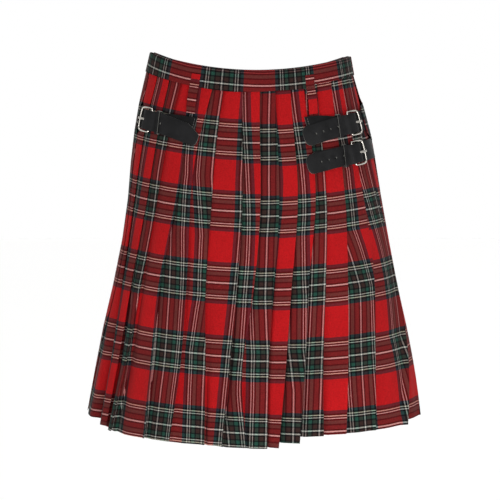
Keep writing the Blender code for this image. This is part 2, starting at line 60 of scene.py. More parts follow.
def addNode(tree, kind, settings=None, links=None):  # a node with its settings and links
    node = tree.nodes.new("ShaderNode" + kind)
    for key, value in (settings or {}).items():
        if isinstance(key, int) or key[0].isupper():
            node.inputs[key].default_value = value
        else:
            setattr(node, key, value)
    for key, source in (links or {}).items():
        tree.links.new(source, node.inputs[key])
    return node


def newMaterial(name):
    mat = bpy.data.materials.new(name)
    mat.use_nodes = True
    return mat, mat.node_tree, mat.node_tree.nodes["Principled BSDF"]


def tintRamp(tree, amount, colours, ends=(0.0, 1.0)):  # from the first colour to the second
    ramp = addNode(tree, "ValToRGB", links={0: amount})
    for element, colour, end in zip(ramp.color_ramp.elements, colours, ends):
        element.position = end
        element.color = fromHex(colour)
    return ramp.outputs["Color"]


room = dict(
    floor=-1.02, floorSize=14, paper=("#fbfbfa", "#ffffff"), paperGrain=3.0, paperRoughness=0.95,
    wall="#ffffff", wallEdge=(0.55, 0.92), dimmed=0.5, glow=1.0,
    overhead=1.5, overheadHeight=3, overheadSpread=60, aim=(0, 0, -0.3),
    lights=[
        dict(name="key", place=(1.3, -2.9, 0.2), size=1.4, power=26),
        dict(name="fill", place=(-1.6, -2.7, 0.1), size=1.6, power=11),
        dict(name="low", place=(0.2, -1.25, -0.85), size=0.5, power=9.0),
    ],
)
world = bpy.data.worlds.new("studio")
world.use_nodes = True
background = world.node_tree.nodes["Background"]
background.inputs["Color"].default_value = fromHex(room["wall"])
# The wall behind the kilt gives more light than the rest of the room, so the sides fall off.
around = addNode(world.node_tree, "TexCoord")
heading = addNode(world.node_tree, "SeparateXYZ", links={0: around.outputs["Generated"]})
bright = addNode(world.node_tree, "MapRange",
                 {"From Min": room["wallEdge"][0], "From Max": room["wallEdge"][1],
                  "To Min": room["dimmed"], "To Max": room["glow"]}, {0: heading.outputs["Y"]})
# The room is seen as white on every side.
seen = addNode(world.node_tree, "LightPath")
strength = addNode(world.node_tree, "Math", {"operation": "MAXIMUM"},
                   {0: bright.outputs[0], 1: seen.outputs["Is Camera Ray"]})
world.node_tree.links.new(strength.outputs[0], background.inputs["Strength"])
bpy.context.scene.world = world
bpy.ops.object.light_add(type="SUN", location=(0, 0, room["overheadHeight"]))
overhead = bpy.context.object
overhead.name = "overhead_light"
overhead.data.energy = room["overhead"]
overhead.data.angle = math.radians(room["overheadSpread"])
for light in room["lights"]:
    bpy.ops.object.light_add(type="AREA", location=light["place"])
    lamp = bpy.context.object
    lamp.name = light["name"] + "_light"
    lamp.data.size = light["size"]
    lamp.data.energy = light["power"]
    toKilt = Vector(room["aim"]) - Vector(light["place"])
    lamp.rotation_euler = toKilt.to_track_quat("-Z", "Y").to_euler()

bpy.ops.mesh.primitive_plane_add(size=room["floorSize"], location=(0, 0, room["floor"]))
floor = bpy.context.object
floor.name = "studio_floor"
paper, paperTree, paperShader = newMaterial("matt pale paper")  # even, it only takes soft shadows
paperNoise = addNode(paperTree, "TexNoise", {"Scale": room["paperGrain"]})
paperTint = tintRamp(paperTree, paperNoise.outputs["Fac"], room["paper"])
paperTree.links.new(paperTint, paperShader.inputs["Base Color"])
paperShader.inputs["Roughness"].default_value = room["paperRoughness"]
floor.data.materials.append(paper)
bpy.ops.object.transform_apply(location=True, rotation=True, scale=True)
print("camera and room set")

# Tartan, a matt polyviscose twill: no gloss, a slight bloom at glancing angles, fine diagonal ribs,
# and each yarn colour half hidden wherever it crosses another.

tartan = dict(
    across=119.0,  # mm from one white centre line to the next, across and down the cloth
    down=117.5,
    rib=2.3,  # mm, the real ribs are 0.8 mm apart and would not show
    ribShare=(0.36, 0.64),  # how much the crossing yarns cover, from the foot of a rib to its top
    blend=3.0,  # the eye mixes crossing yarns darker than their light would add up to
    pale=(0.42, 0.58),  # how bright a yarn is where it starts and ends to count as pale
    paleWeft=0.15,  # how much more a pale yarn covers, across the cloth and down it
    paleWarp=0.12,
    # Yarns are uneven every 2.4 mm, the dye has faded a little in patches of 70 mm, and the cloth
    # has soft waves 33 mm apart. Heights are in metres.
    slub=dict(scale=420.0, detail=3.0, noise=(0.25, 0.75), tone=(0.8, 1.2)),
    worn=dict(scale=14.0, detail=2.0, noise=(0.3, 0.7), tone=(0.93, 1.07)),
    wave=dict(scale=30.0, detail=2.0, height=0.0012),
    ribHeight=0.0002,
    bump=0.35,
    yarns=dict(white="#aaada3", black="#020102", darkRed="#291a17", green="#18392f", navy="#151d25",
               faded="#5d4340", yellow="#a6a894", sunk="#918c86", red="#940b0f"),
    stripes=[(0, "white"), (0.008, "black"), (0.031, "darkRed"), (0.083, "black"), (0.103, "green"),
             (0.148, "black"), (0.17, "white"), (0.182, "black"), (0.205, "yellow"),
             (0.217, "black"), (0.245, "navy"), (0.287, "red")],
)
paleYarns = ("white", "yellow")


def stripeColour(tree, position, stripes):  # the yarn at a place in the sett, which runs both ways
    half = addNode(tree, "Math", {"operation": "PINGPONG", 1: 0.5}, {0: position})
    full = addNode(tree, "Math", {"operation": "MULTIPLY", 1: 2.0}, {0: half.outputs[0]})
    ramp = addNode(tree, "ValToRGB", links={0: full.outputs[0]})
    ramp.color_ramp.interpolation = "CONSTANT"
    while len(ramp.color_ramp.elements) < len(stripes):
        ramp.color_ramp.elements.new(1.0)
    for element, (start, yarn) in zip(ramp.color_ramp.elements, stripes):
        element.position = start * 2
        element.color = fromHex(tartan["yarns"][yarn])
    eye = addNode(tree, "Gamma", {"Gamma": 1 / tartan["blend"]}, {0: ramp.outputs["Color"]})
    return eye.outputs[0]


def paleCover(tree, yarns, most):  # a pale yarn is thicker than the rest and covers more
    parts = addNode(tree, "SeparateColor", links={0: yarns})
    cover = addNode(tree, "MapRange", {"From Min": tartan["pale"][0], "From Max": tartan["pale"][1],
                                       "To Max": most}, {0: parts.outputs["Green"]})
    return cover.outputs[0]


def patches(tree, spot, look):  # a little darker and lighter from place to place
    noise = addNode(tree, "TexNoise", {"Scale": look["scale"], "Detail": look["detail"]},
                    {"Vector": spot})
    tone = addNode(tree, "MapRange", {"From Min": look["noise"][0], "From Max": look["noise"][1],
                                      "To Min": look["tone"][0], "To Max": look["tone"][1]},
                   {0: noise.outputs["Fac"]})
    return tone.outputs[0]


def tartanTwill(name, rows):
    mat, tree, shader = newMaterial(name)
    sett = addNode(tree, "UVMap", {"uv_map": "sett"})
    axes = addNode(tree, "SeparateXYZ", links={0: sett.outputs[0]})
    # The pale lines down the cloth lie lower in the weave than those across it, and look dimmer.
    columns = [(start, "sunk" if yarn in paleYarns else yarn) for start, yarn in tartan["stripes"]]
    warp = stripeColour(tree, axes.outputs["X"], columns)
    weft = stripeColour(tree, axes.outputs["Y"], rows)
    turns = 2 * math.pi / tartan["rib"]
    alongX = addNode(tree, "Math", {"operation": "MULTIPLY", 1: tartan["across"] * turns},
                     {0: axes.outputs["X"]})
    alongY = addNode(tree, "Math", {"operation": "MULTIPLY_ADD", 1: tartan["down"] * turns},
                     {0: axes.outputs["Y"], 2: alongX.outputs[0]})
    ribs = addNode(tree, "Math", {"operation": "SINE"}, {0: alongY.outputs[0]})
    share = addNode(tree, "MapRange", {"From Min": -1.0, "To Min": tartan["ribShare"][0],
                                       "To Max": tartan["ribShare"][1]}, {0: ribs.outputs[0]})
    raised = addNode(tree, "Math", {"operation": "ADD"},
                     {0: share.outputs[0], 1: paleCover(tree, weft, tartan["paleWeft"])})
    cover = addNode(tree, "Math", {"operation": "SUBTRACT"},
                    {0: raised.outputs[0], 1: paleCover(tree, warp, tartan["paleWarp"])})
    mixed = addNode(tree, "Mix", {"data_type": "RGBA"}, {0: cover.outputs[0], 6: warp, 7: weft})
    plain = addNode(tree, "Gamma", {"Gamma": tartan["blend"]}, {0: mixed.outputs[2]})
    spot = addNode(tree, "TexCoord").outputs["Object"]
    uneven = patches(tree, spot, tartan["slub"])
    faded = patches(tree, spot, tartan["worn"])
    fleck = addNode(tree, "Math", {"operation": "MULTIPLY"}, {0: uneven, 1: faded})
    tone = addNode(tree, "VectorMath", {"operation": "SCALE"},
                   {0: plain.outputs[0], 3: fleck.outputs[0]})
    tree.links.new(tone.outputs[0], shader.inputs["Base Color"])
    ribBump = addNode(tree, "Bump", {"Strength": tartan["bump"], "Distance": tartan["ribHeight"]},
                      {"Height": ribs.outputs[0]})
    wave = addNode(tree, "TexNoise", {"Scale": tartan["wave"]["scale"],
                                      "Detail": tartan["wave"]["detail"]}, {"Vector": spot})
    soft = addNode(tree, "Bump", {"Strength": tartan["bump"], "Distance": tartan["wave"]["height"]},
                   {"Height": wave.outputs["Fac"], "Normal": ribBump.outputs[0]})
    tree.links.new(soft.outputs[0], shader.inputs["Normal"])
    shader.inputs["Roughness"].default_value = 0.88
    shader.inputs["Sheen Weight"].default_value = 0.02
    shader.inputs["Sheen Roughness"].default_value = 0.5
    shader.inputs["IOR"].default_value = 1.45
    shader.inputs["Specular IOR Level"].default_value = 0.12
    return mat


# The hips that the cloth hangs on. Angles go round from the centre back toward the wearer's right,
# arcs are mm round the hips from the centre back, drops are mm down from the waist.

hips = dict(
    drop=(0, 34, 78, 83, 126, 131, 180, 240, 310, 385, 460, 535, 608),
    width=(164.5, 171.7, 182.9, 184.1, 193.6, 194.6, 203.5, 211.7, 222.9, 237.5, 253.6, 267.7,
           281.0),
    back=(98.7, 104.2, 112.5, 113.5, 121.0, 121.8, 129.3, 137.1, 147.4, 160.6, 175.2, 188.9,
          202.3),
    front=(98.7, 102.5, 108.5, 109.2, 114.2, 114.7, 119.1, 122.8, 128.1, 135.0, 142.6, 148.8,
           154.6),
    sway=(0.0, -1.0, -0.4, -0.3, 1.6, 1.9, 4.8, 7.9, 9.1, 8.6, 7.5, 7.1, 7.0),
    dip=(24.0, 23.0, 21.7, 21.5, 20.2, 20.1, 18.6, 16.8, 14.7, 12.5, 10.2, 8.0, 5.8),
    tilt=(3.2, 2.8, 2.2, 2.1, 1.5, 1.5, 0.8, 0.0, -1.0, -2.0, -3.1, -4.1, -5.1),
)
reach = 125  # degrees either way that arcs are measured, half a degree at a time
fine = 0.5
frontDip = 1.35  # the front of the waist dips this much more than the back
sharpCorner = 0.62  # a mitre grows no longer past this
softAngle = 50  # cloth shades smoothly over any edge up to this
knownLevels = {}


def smoothly(xs, ys, x):  # a smooth curve through a table's values
    xs = np.asarray(xs, float)
    ys = np.asarray(ys, float)
    slopes = np.gradient(ys, xs)
    i = int(np.clip(np.searchsorted(xs, x, side="right") - 1, 0, len(xs) - 2))
    span = xs[i + 1] - xs[i]
    t = float(np.clip((x - xs[i]) / span, 0, 1))
    return ((2 * t**3 - 3 * t**2 + 1) * ys[i] + (t**3 - 2 * t**2 + t) * span * slopes[i]
            + (3 * t**2 - 2 * t**3) * ys[i + 1] + (t**3 - t**2) * span * slopes[i + 1])


def ease(x, start, end):
    t = np.clip((np.asarray(x, float) - start) / (end - start), 0, 1)
    return t * t * (3 - 2 * t)


def levelAt(drop):  # the hips' section at a drop, with its arcs measured
    key = round(float(drop), 3)
    if key not in knownLevels:
        level = {name: float(np.interp(drop, hips["drop"], hips[name])) for name in hips}
        angles = np.radians(np.arange(-reach, reach + fine, fine))
        depth = np.where(np.cos(angles) > 0, level["back"], level["front"])
        speed = np.hypot(level["width"] * np.cos(angles), depth * np.sin(angles))
        arcs = np.concatenate([[0], np.cumsum((speed[1:] + speed[:-1]) / 2 * math.radians(fine))])
        level["angles"] = np.degrees(angles)
        level["arcs"] = arcs - np.interp(0, angles, arcs)
        knownLevels[key] = level
    return knownLevels[key]


def angleAt(arc, drop):
    level = levelAt(drop)
    return np.interp(arc, level["arcs"], level["angles"])


def arcAt(angle, drop):
    level = levelAt(drop)
    return float(np.interp(angle, level["angles"], level["arcs"]))


def hipPoints(angles, drop, out):  # points at one drop, moved out along the hips' normal, in mm
    level = levelAt(drop)
    a = np.radians(np.atleast_1d(np.asarray(angles, float)))
    sin = np.sin(a)
    cos = np.cos(a)
    depth = np.where(cos > 0, level["back"], level["front"])
    nx = depth * sin
    ny = -level["width"] * cos
    n = np.hypot(nx, ny)
    x = level["sway"] + level["width"] * sin + out * nx / n
    y = -depth * cos + out * ny / n
    dip = level["dip"] * cos**2 * np.where(cos > 0, 1.0, frontDip)
    return np.stack([x, y, -drop - dip - level["tilt"] * sin], axis=-1)


def sideOffsets(points, half):  # a flat line moved to both sides, with mitred corners
    points = np.asarray(points, float)
    steps = np.diff(points, axis=0)
    steps /= np.linalg.norm(steps, axis=1)[:, None]
    before = np.vstack([steps[:1], steps])
    after = np.vstack([steps, steps[-1:]])
    first = np.stack([before[:, 1], -before[:, 0]], 1)
    second = np.stack([after[:, 1], -after[:, 0]], 1)
    middle = first + second
    middle /= np.linalg.norm(middle, axis=1)[:, None]
    shift = middle * (half / np.clip((middle * first).sum(1), sharpCorner, 1))[:, None]
    return points + shift, points - shift


def clothShell(name, outer, inner, sett, mat):
    # a closed skin between two grids of points in mm, with its place in the sett as its UV map
    outer = np.asarray(outer, float) * mm
    inner = np.asarray(inner, float) * mm
    rows, columns = outer.shape[:2]
    across = rows * columns  # from a point on the outside to the same point on the inside
    points = np.concatenate([outer.reshape(-1, 3), inner.reshape(-1, 3)])
    number = np.arange(across).reshape(rows, columns)
    quads = np.stack([number[:-1, :-1], number[1:, :-1], number[1:, 1:], number[:-1, 1:]], -1)
    quads = quads.reshape(-1, 4)
    back = (quads + across)[:, ::-1]
    rims = []
    for line, flip in ((number[:, 0], False), (number[:, -1], True), (number[0], True),
                       (number[-1], False)):
        rim = np.stack([line[:-1], line[:-1] + across, line[1:] + across, line[1:]], -1)
        rims.append(rim[:, ::-1] if flip else rim)
    faces = np.concatenate([quads, back] + rims)
    mesh = bpy.data.meshes.new(name)
    mesh.from_pydata(points.tolist(), [], faces.tolist())
    flat = np.asarray(sett, float).reshape(-1, 2)
    both = np.concatenate([flat, flat])
    layer = mesh.uv_layers.new(name="sett")
    corners = np.empty(len(mesh.loops), dtype=np.int32)
    mesh.loops.foreach_get("vertex_index", corners)
    layer.data.foreach_set("uv", both[corners].ravel())
    mesh.materials.append(mat)
    piece = bpy.data.objects.new(name, mesh)
    bpy.context.scene.collection.objects.link(piece)
    bpy.ops.object.select_all(action="DESELECT")
    piece.select_set(True)
    bpy.context.view_layer.objects.active = piece
    bpy.ops.object.mode_set(mode="EDIT")
    bpy.ops.mesh.select_all(action="SELECT")
    bpy.ops.mesh.normals_make_consistent(inside=False)
    bpy.ops.object.mode_set(mode="OBJECT")
    bpy.ops.object.shade_smooth_by_angle(angle=math.radians(softAngle))
    piece.select_set(False)
    return piece


clothMat = tartanTwill("polyviscose tartan twill", tartan["stripes"])
# The band's cloth is pressed flat over its edge, and only its white centre line stays bright.
bandRows = [(start, "faded" if start > 0 and yarn in paleYarns else yarn)
            for start, yarn in tartan["stripes"]]
bandMat = tartanTwill("pressed tartan twill", bandRows)
# The left seam, where the over apron's edge is sewn down on the first pleat, is an arc at five
# drops. The right seam is an angle. The slit in the left seam lets the under apron's strap through.
seams = dict(drop=(36, 182, 365, 486, 608), left=(-193, -235, -273, -316, -372), right=104.0,
             gap=0.3, lap=5.0, slit=(82.5, 126.5), slitPleat=7.0, slitApron=5.0, underBand=37,
             bandMiddle=20)
hemDrop = 608.0
liftFrom = 60  # the cloth is drawn up to its hem below this drop
clothDrops = np.array([1.5, 10, 18, 26, 34, 40, 48, 56, 64, 70, 78, 83, 92, 101, 110, 118, 126, 131]
                      + list(range(139, 600, 8)) + [602, hemDrop], float)


def leftSeam(drop):  # upright under the waistband, then down the first pleat's edge
    if drop <= seams["underBand"]:
        return arcAt(float(angleAt(seams["left"][0], seams["bandMiddle"])), drop)
    return float(smoothly(seams["drop"], seams["left"], drop))


def hemLift(drop, hem):  # how far the cloth is drawn up, for a hem that hangs at another drop
    return drop * (1 - hem / hemDrop) * ease(drop, liftFrom, hemDrop)


# Pleated back

pleating = dict(
    thick=0.8,
    cloth=79.0,  # mm of cloth in each pleat, shown and hidden
    layer=1.5,  # from one layer of a fold to the next at the waist, and what the hem adds to it
    loose=0.5,
    loosens=(34, 608),  # drops between which folds loosen, flare out and lose their tuck
    flares=(230, 600),
    tucks=(36, 90),
    face=-0.55,  # height of a pleat's face off the hips, and how far it steps down at the left seam
    seamStep=1.4,
    foot=1.5,  # flat run at the foot of the next pleat's edge
    leastFold=3.5,  # a fold is at least this deep, or this many times as deep as its edge kicks out
    kickReach=1.35,
    clear=6.5,  # and its inner end stays this far from the edge before it
    crestPlace=0.42,  # where a face has its swell, as a share of its run, and how high
    crestHeight=0.62,
    rollTuck=6,  # a rolled face has a shallower fold at the hem, and swells further
    rollLoose=14,
    rollEnd=4,
    rollLift=0.3,
    flatFace=-4.55,  # the flat run sinks to this under the over apron, over this share of its run
    flatSinks=0.7,
    flatSett=0.06,
    midDrop=330,
    edgeTurn=1.2,  # radians round an edge from where its cloth is counted
    columns=dict(face=8, edge=6, middle=4, flat=12),
    ridgeDrops=(36, 182, 365, 486, 608),
    settDrops=(41, 178, 275, 372, 460, 525, 608),
    firstRow=112.0,  # drop of the first white line across the left pleats
)
# One row for each pleat: the arc of its edge at five drops, how far the edge stands out at the hem,
# the valley on its left, the roll beside the valley, its hem, how far its rows sit below the left
# pleats' and are tucked lower at the waist, and where in the sett its edge is cut at seven drops.
pleats = [
    dict(ridge=(-167, -214, -260, -276, -314), kick=-11, valley=0, roll=0, hem=594, low=0,
         sett=(0.5, 0.5, 0.5, 0.5, 0.5, 0.5, 0.5)),
    dict(ridge=(-139, -179, -226, -248, -277), kick=-2, valley=34, roll=19, hem=600, low=0,
         sett=(0.38, 0.42, 0.43, 0.42, 0.4, 0.4, 0.4)),
    dict(ridge=(-116, -157, -201, -225, -258), kick=2, valley=11, roll=11, hem=605, low=0,
         sett=(0.05, 0.05, 0.01, 0.02, -0.07, -0.07, -0.07)),
    dict(ridge=(-96, -121, -162, -172, -184), kick=4, valley=8, roll=0, hem=607, low=0,
         sett=(0.73, 0.73, 0.73, 0.73, 0.73, 0.73, 0.73)),
    dict(ridge=(-61, -100, -114, -121, -139), kick=4, valley=2, roll=0, hem=608, low=0,
         sett=(0.43, 0.28, 0.28, 0.25, 0.25, 0.25, 0.22)),
    dict(ridge=(-42, -65, -81, -79, -80), kick=4, valley=2, roll=0, hem=610, low=0,
         sett=(0.02, 0.02, -0.09, -0.11, 0.01, 0.03, 0.04)),
    dict(ridge=(-11, -17, -31, -40, -52), kick=4, valley=2, roll=0, hem=611, low=3,
         sett=(0.74, 0.81, 0.81, 0.82, 0.84, 0.84, 0.83)),
    dict(ridge=(17, 12, -4, -20, -14), kick=4, valley=2, roll=0, hem=614, low=8,
         sett=(0.41, 0.37, 0.33, 0.3, 0.22, 0.24, 0.22)),
    dict(ridge=(42, 42, 28, 22, 20), kick=4, valley=2, roll=0, hem=616, low=11,
         sett=(0.08, 0.14, 0.14, 0.1, 0.02, 0.01, 0.02)),
    dict(ridge=(67, 72, 57, 49, 38), kick=7, valley=2, roll=0, hem=615, low=13.5,
         sett=(0.5, 0.48, 0.51, 0.51, 0.55, 0.57, 0.6)),
    dict(ridge=(90, 102, 85, 79, 70), kick=13, valley=5, roll=0, hem=608, low=11.5,
         sett=(0.37, 0.37, 0.34, 0.24, 0.21, 0.12, 0.08)),
    dict(ridge=(113, 120, 115, 111, 111), kick=4, valley=7, roll=0, hem=601, low=10, tuck=7,
         sett=(-0.02, 0.02, 0.02, 0.02, 0.02, 0.03, 0.06)),
    dict(ridge=(141, 153, 155, 154, 149), kick=6, valley=3, roll=0, hem=601, low=14, tuck=2.5,
         sett=(0.7, 0.7, 0.7, 0.7, 0.7, 0.7, 0.7)),
    dict(ridge=(165, 188, 211, 208, 206), kick=4, valley=4, roll=0, hem=603, low=14, tuck=6.5,
         sett=(0.37, 0.39, 0.46, 0.26, 0.23, 0.2, 0.15)),
    dict(ridge=(187, 220, 283, 293, 275), kick=9, valley=3, roll=0, hem=605, low=19, tuck=2,
         sett=(-0.01, 0.04, 0.08, 0.07, 0.1, -0.06, -0.23)),
    dict(ridge=(210, 252, 322, 343, 340), kick=3, valley=6, roll=0, hem=602, low=22,
         sett=(0.38, 0.46, 0.5, 0.52, 0.58, 0.64, 0.74)),
]


def edgeSett(pleat, drop):
    return float(np.interp(drop, pleating["settDrops"], pleat["sett"]))


def pleatRidges(drop):
    return [float(smoothly(pleating["ridgeDrops"], pleat["ridge"], drop)) for pleat in pleats]


def wholeSetts():  # whole setts hidden in each fold, so that no hidden cloth is stretched
    drop = pleating["midDrop"]
    ridges = [leftSeam(drop)] + pleatRidges(drop)
    whole = [0.0]
    for i in range(1, len(pleats)):
        hidden = (pleating["cloth"] - (ridges[i] - ridges[i - 1])) / tartan["across"]
        start = edgeSett(pleats[i], drop) - (ridges[i + 1] - ridges[i]) / tartan["across"]
        whole.append(whole[-1] + round(edgeSett(pleats[i - 1], drop) + hidden - start))
    return whole


hiddenSetts = wholeSetts()


def pleatSection(drop):
    # the cloth's middle line at one drop: rows of arc, height off the hips, hem, sett and row shift
    flare = float(ease(drop, *pleating["flares"]))
    pitch = pleating["layer"] + pleating["loose"] * float(ease(drop, *pleating["loosens"]))
    turn = pitch / 2
    top = pleating["face"]
    middle = top - pitch
    bottom = middle - pitch
    lapped = top - pleating["seamStep"]
    foot = pleating["foot"]
    period = tartan["across"]
    count = pleating["columns"]
    previous = leftSeam(drop)
    begin = previous - seams["lap"]
    if drop <= seams["underBand"]:
        begin = previous + seams["gap"]
    if seams["slit"][0] <= drop <= seams["slit"][1]:
        previous += seams["slitPleat"]
        begin = previous - foot
    line = []
    under = 0.0
    for i, (pleat, ridge) in enumerate(zip(pleats, pleatRidges(drop))):
        shown = ridge - previous
        kick = pleat["kick"] * flare
        valley = pleat["valley"] * flare
        depth = max((pleating["cloth"] - shown) / 2, pleating["kickReach"] * abs(kick),
                    pleating["leastFold"])
        if pleat["roll"]:
            depth = min(depth, pleat["roll"] - pleating["rollTuck"]
                        + pleating["rollLoose"] * (1 - flare))
        depth = min(depth, shown - pleating["clear"])
        inside = ridge - depth
        start = previous + foot
        half = start + (inside - start) * pleating["crestPlace"]
        crest = pleating["crestHeight"]
        if pleat["roll"]:
            half += (ridge - pleat["roll"] - half) * flare
            half = min(half, inside - pleating["rollEnd"])
            crest += pleating["rollLift"] * flare
        # the face, from its foot over its swell to its edge
        if i == 0:
            knots = [(begin, lapped), (start, lapped), (half, lapped + (top - lapped) * crest),
                     (inside, top)]
        else:
            knots = [(previous, bottom + under - 0.5 * valley), (start, bottom + under - valley),
                     (half, bottom + (top - bottom) * crest), (inside, top)]
        knots.append((ridge - turn, top + kick * (1 - turn / depth)))
        xs, hs = np.transpose(knots)
        steps = np.concatenate([np.linspace(xs[0], inside, count["face"])[:-1],
                                np.linspace(inside, ridge - turn, count["edge"])])
        steps[1] = xs[1]
        heights = np.interp(steps, xs, hs)
        for _ in range(2):
            heights[2:-1] = (heights[1:-2] + 2 * heights[2:-1] + heights[3:]) / 4
        hem = pleat["hem"]
        sett = edgeSett(pleat, drop) + hiddenSetts[i]
        low = pleat["low"] + pleat.get("tuck", 0) * (1 - float(ease(drop, *pleating["tucks"])))
        line += [(x, h, hem, sett + (x - ridge) / period, low) for x, h in zip(steps, heights)]
        # round the edge, back along the middle layer, and round into the bottom layer
        for a in np.radians((60, 25, -10, -45, -80)):
            line.append((ridge - turn + turn * math.cos(a), top - turn + kick + turn * math.sin(a),
                         hem, sett + turn * (pleating["edgeTurn"] - a) / period, low))
        for x in np.linspace(ridge - turn, inside + turn, count["middle"])[1:]:
            line.append((x, middle + kick * (x - inside) / depth, hem,
                         sett + (ridge - x) / period, low))
        for a in np.radians((130, 180, 230)):
            line.append((inside + turn + turn * math.cos(a), middle - turn + turn * math.sin(a),
                         hem, sett + depth / period, low))
        line.append((inside + turn, bottom, hem, sett + depth / period, low))
        previous = ridge
        under = min(kick, 0)
    # the flat run from the last pleat to the right seam
    end = arcAt(seams["right"], drop) - seams["gap"] / 2
    for share in np.linspace(0, 1, count["flat"]):
        x = previous + (end - previous) * share
        sink = float(ease(share, 0, pleating["flatSinks"]))
        line.append((x, bottom + (pleating["flatFace"] - bottom) * sink, hem,
                     sett + pleating["flatSett"] + (x - previous) / period, low))
    return np.array(line)


def pleatedBack():
    outer = []
    inner = []
    sett = []
    for drop in clothDrops:
        arcs, heights, hems, across, low = pleatSection(drop).T
        points = hipPoints(angleAt(arcs, drop), drop, heights)
        outside, inside = sideOffsets(points[:, :2], pleating["thick"] / 2)
        lift = hemLift(drop, hems)
        outer.append(np.column_stack([outside, points[:, 2] + lift]))
        inner.append(np.column_stack([inside, points[:, 2] + lift]))
        down = (drop - lift - low - pleating["firstRow"]) / tartan["down"]
        sett.append(np.column_stack([across, down]))
    return clothShell("kilt_pleated_back", outer, inner, sett, clothMat)


pleatedPiece = pleatedBack()
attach(pleatedPiece, "root")
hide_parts("pleated_back")
print("pleated back made,", len(pleatedPiece.data.polygons), "faces")

# Aprons

apron = dict(
    thick=0.8,
    face=0.15,  # the cloth is thinner than its solid, and lies in its middle
    underFace=-4.0,  # height of the under apron off the hips, and the angle of its inner end
    underEnd=263.0,
    standOff=4.7,  # how far the over apron lies outside the hips once it is over the under apron
    steps=(215, 246),  # degrees between which it gets there
    overEdgeDrops=(0, 34, 70, 78, 83, 126, 131, 142, 180, 240, 385, 608),
    overEdge=(100, 99, 97, 84, 76, 76, 80, 93, 98, 100, 101, 102),
    tongueDrops=[136.0, 142.0],  # more rows at the tongue that the right straps are sewn under
    hemAngles=(-256, -200, -150, -100),
    hem=(602, 608, 606, 591),
    columns=dict(over=170, under=120),
    across=124.0,  # this cloth lies unpressed and a little on the slant
    overSett=-0.07,
    underSett=0.0,
)


def overHeight(angles):
    return apron["standOff"] * ease(-np.asarray(angles, float), *apron["steps"])


def overColumns(drop):
    seam = leftSeam(drop)
    if seams["slit"][0] <= drop <= seams["slit"][1]:
        seam -= seams["slitApron"]
    far = float(np.interp(drop, apron["overEdgeDrops"], apron["overEdge"])) - 360
    return np.linspace(float(angleAt(seam, drop)), far, apron["columns"]["over"])


def overHem(angles):
    return np.interp(angles, apron["hemAngles"], apron["hem"])


def underHeight(angles):
    return np.full(len(angles), apron["underFace"])


def underColumns(drop):
    seam = arcAt(seams["right"], drop) + seams["gap"] / 2
    return np.linspace(float(angleAt(seam, drop)), apron["underEnd"], apron["columns"]["under"])


def underHem(angles):
    return np.full(len(angles), hemDrop)


def apronPiece(name, columns, height, hem, frontSett, drops):
    outer = []
    inner = []
    sett = []
    for drop in drops:
        angles = columns(drop)
        out = height(angles) - apron["face"]
        lift = hemLift(drop, hem(angles))
        points = hipPoints(angles, drop, out)
        inside = hipPoints(angles, drop, out - apron["thick"])
        steps = np.linalg.norm(np.diff(points[:, :2], axis=0), axis=1)
        walked = np.concatenate([[0], np.cumsum(steps)])
        # the stripes hang straight down the middle of the front
        walked -= np.interp(180, np.abs(angles), walked)
        points[:, 2] += lift
        inside[:, 2] += lift
        outer.append(points)
        inner.append(inside)
        down = (drop - lift - pleating["firstRow"]) / tartan["down"]
        sett.append(np.column_stack([frontSett - walked / apron["across"], down]))
    return clothShell(name, outer, inner, sett, clothMat)


overPiece = apronPiece("kilt_over_apron", overColumns, overHeight, overHem, apron["overSett"],
                       np.array(sorted(list(clothDrops) + apron["tongueDrops"])))
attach(overPiece, "root")
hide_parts("over_apron")
underPiece = apronPiece("kilt_under_apron", underColumns, underHeight, underHem,
                        apron["underSett"], clothDrops)
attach(underPiece, "root")
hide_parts("under_apron")
print("aprons made")

# Waistband

waistband = dict(
    thick=0.9,
    edgeAngles=(-80, -45, -10, 15, 33, 37, 80),  # where the band's lower edge is along the back
    edge=(31, 34, 37, 35, 36.5, 31.5, 31.5),
    frontEdge=31.0,
    lineAngles=(-90, -60, -37, -14, 8, 80),  # where the white line runs along it
    line=(17, 22, 25, 24.8, 26.7, 26.5),
    settCentre=-44.0,
    settPeriod=120.0,
    drawn=8.0,  # mm that the stripes are drawn outward at drawnArc
    drawnArc=160,
    perDegree=2.4,  # mm of arc past the reach of the hips' table
    foldedIn=0.3,  # the lower edge is pressed in over its last rounding mm
    rounding=1.2,
    topRound=0.9,  # the fold over the top edge is this share of a half circle high
    clothThick=1.1,  # the solids' cloth, with clear room for the strip on each side
    clear=0.3,
    stripThick=1.0,
    innerGap=0.5,
    seamGap=0.1,
    columns=dict(back=150, over=120, under=100),
)


def bandArc(angle):
    turned = angle + 360 if angle < -180 else angle
    if abs(turned) <= reach:
        return arcAt(turned, seams["bandMiddle"])
    past = arcAt(reach, seams["bandMiddle"]) + (abs(turned) - reach) * waistband["perDegree"]
    return math.copysign(past, turned)


